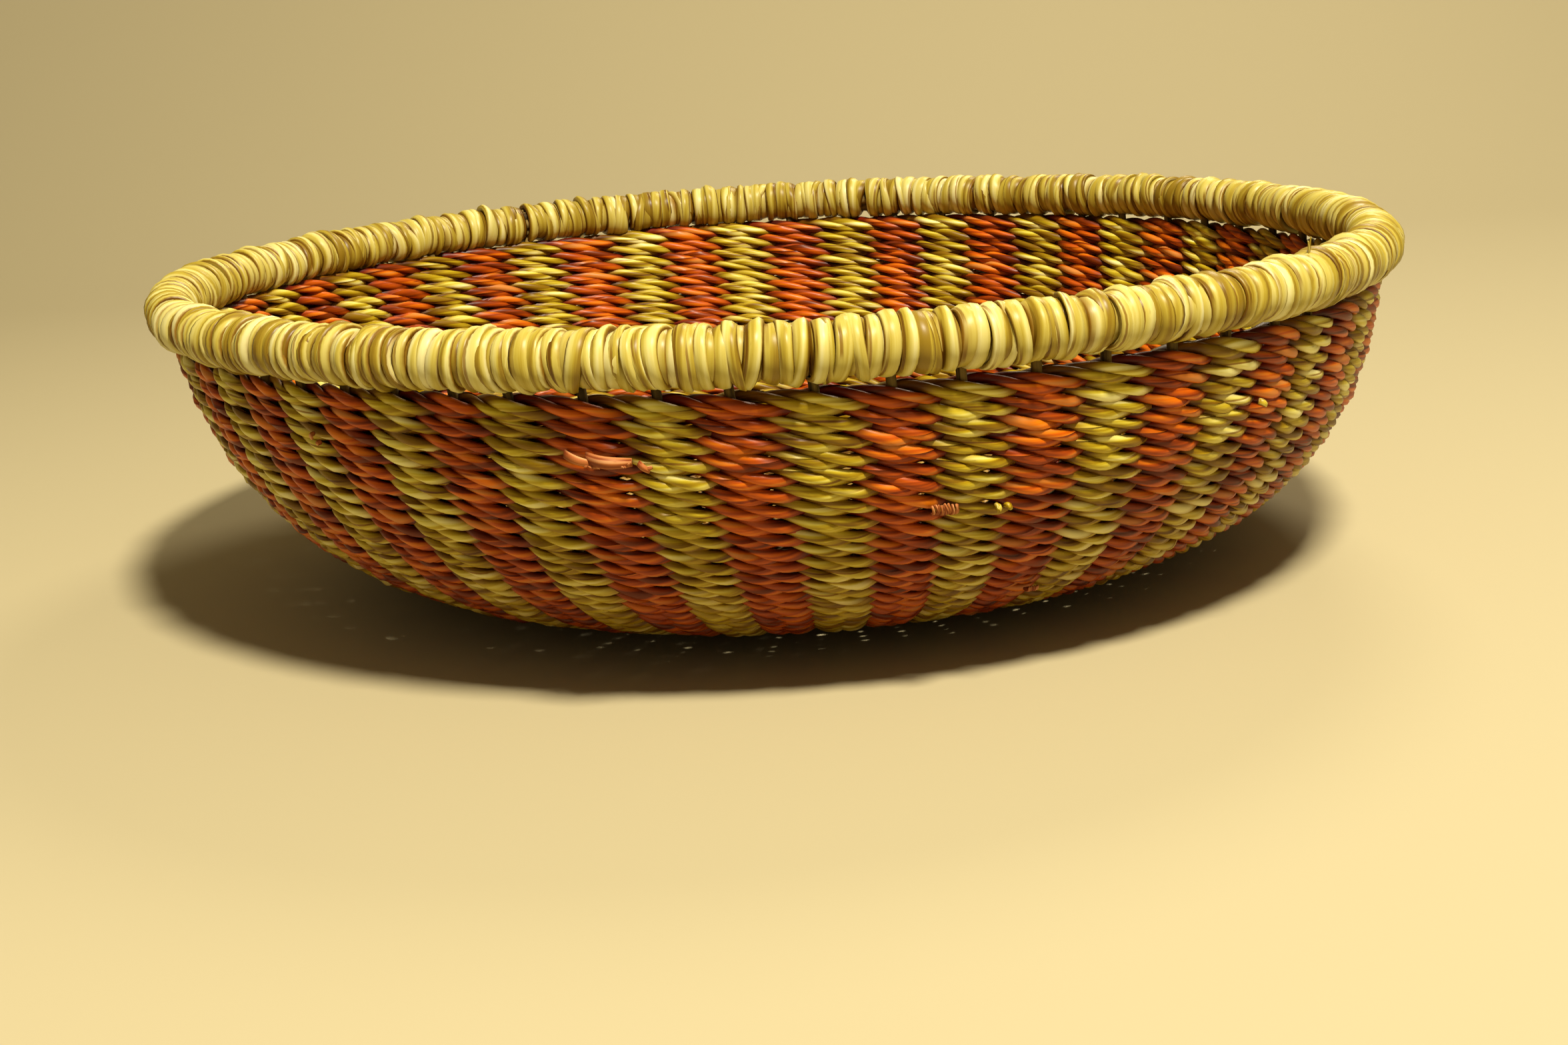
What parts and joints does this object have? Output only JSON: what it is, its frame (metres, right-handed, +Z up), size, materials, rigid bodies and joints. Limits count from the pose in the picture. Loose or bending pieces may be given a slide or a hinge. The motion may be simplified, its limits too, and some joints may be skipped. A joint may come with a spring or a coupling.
{
  "type": "woven grass bowl basket",
  "caption": "Round open bowl basket of two-strand twined grass straw over bent grass ribs, with a flat base, rounded flaring wall and a straw-bound hoop rim.",
  "frame": {"origin": "under the middle of the rim, on the surface that the base stands on", "axes": "+Z up through the open mouth; the stripes crowd together a little towards -Y, and the base stands a little to +X of the rim's middle"},
  "size_m": [0.3602, 0.36, 0.0944],
  "materials": {
    "weave_russet_and_straw": "twisted dry grass straw, satin, russet orange and straw yellow in stripes one stake wide",
    "rim_straw": "flattened straw-yellow grass, satin, wrapped close",
    "base_straw": "twisted dry grass straw, satin",
    "rib_grass": "dull brown bundled grass",
    "core_grass": "dull pale bundled grass"
  },
  "bodies": {
    "root": {"base_knot": "base_straw", "base_weave": "base_straw", "lower_weave": "weave_russet_and_straw", "middle_weave": "weave_russet_and_straw", "upper_weave": "weave_russet_and_straw", "rim_binding": "rim_straw", "rim_core": "core_grass", "rib_01": "rib_grass", "rib_02": "rib_grass", "rib_03": "rib_grass", "rib_04": "rib_grass", "rib_05": "rib_grass", "rib_06": "rib_grass", "rib_07": "rib_grass", "rib_08": "rib_grass", "rib_09": "rib_grass", "rib_10": "rib_grass", "rib_11": "rib_grass", "rib_12": "rib_grass", "rib_13": "rib_grass", "rib_14": "rib_grass", "rib_15": "rib_grass", "rib_16": "rib_grass", "rib_17": "rib_grass", "rib_18": "rib_grass", "rib_19": "rib_grass", "rib_20": "rib_grass", "rib_21": "rib_grass", "rib_22": "rib_grass", "rib_23": "rib_grass", "rib_24": "rib_grass", "rib_25": "rib_grass", "rib_26": "rib_grass", "rib_27": "rib_grass", "rib_28": "rib_grass", "rib_29": "rib_grass"}
  },
  "joints": []
}
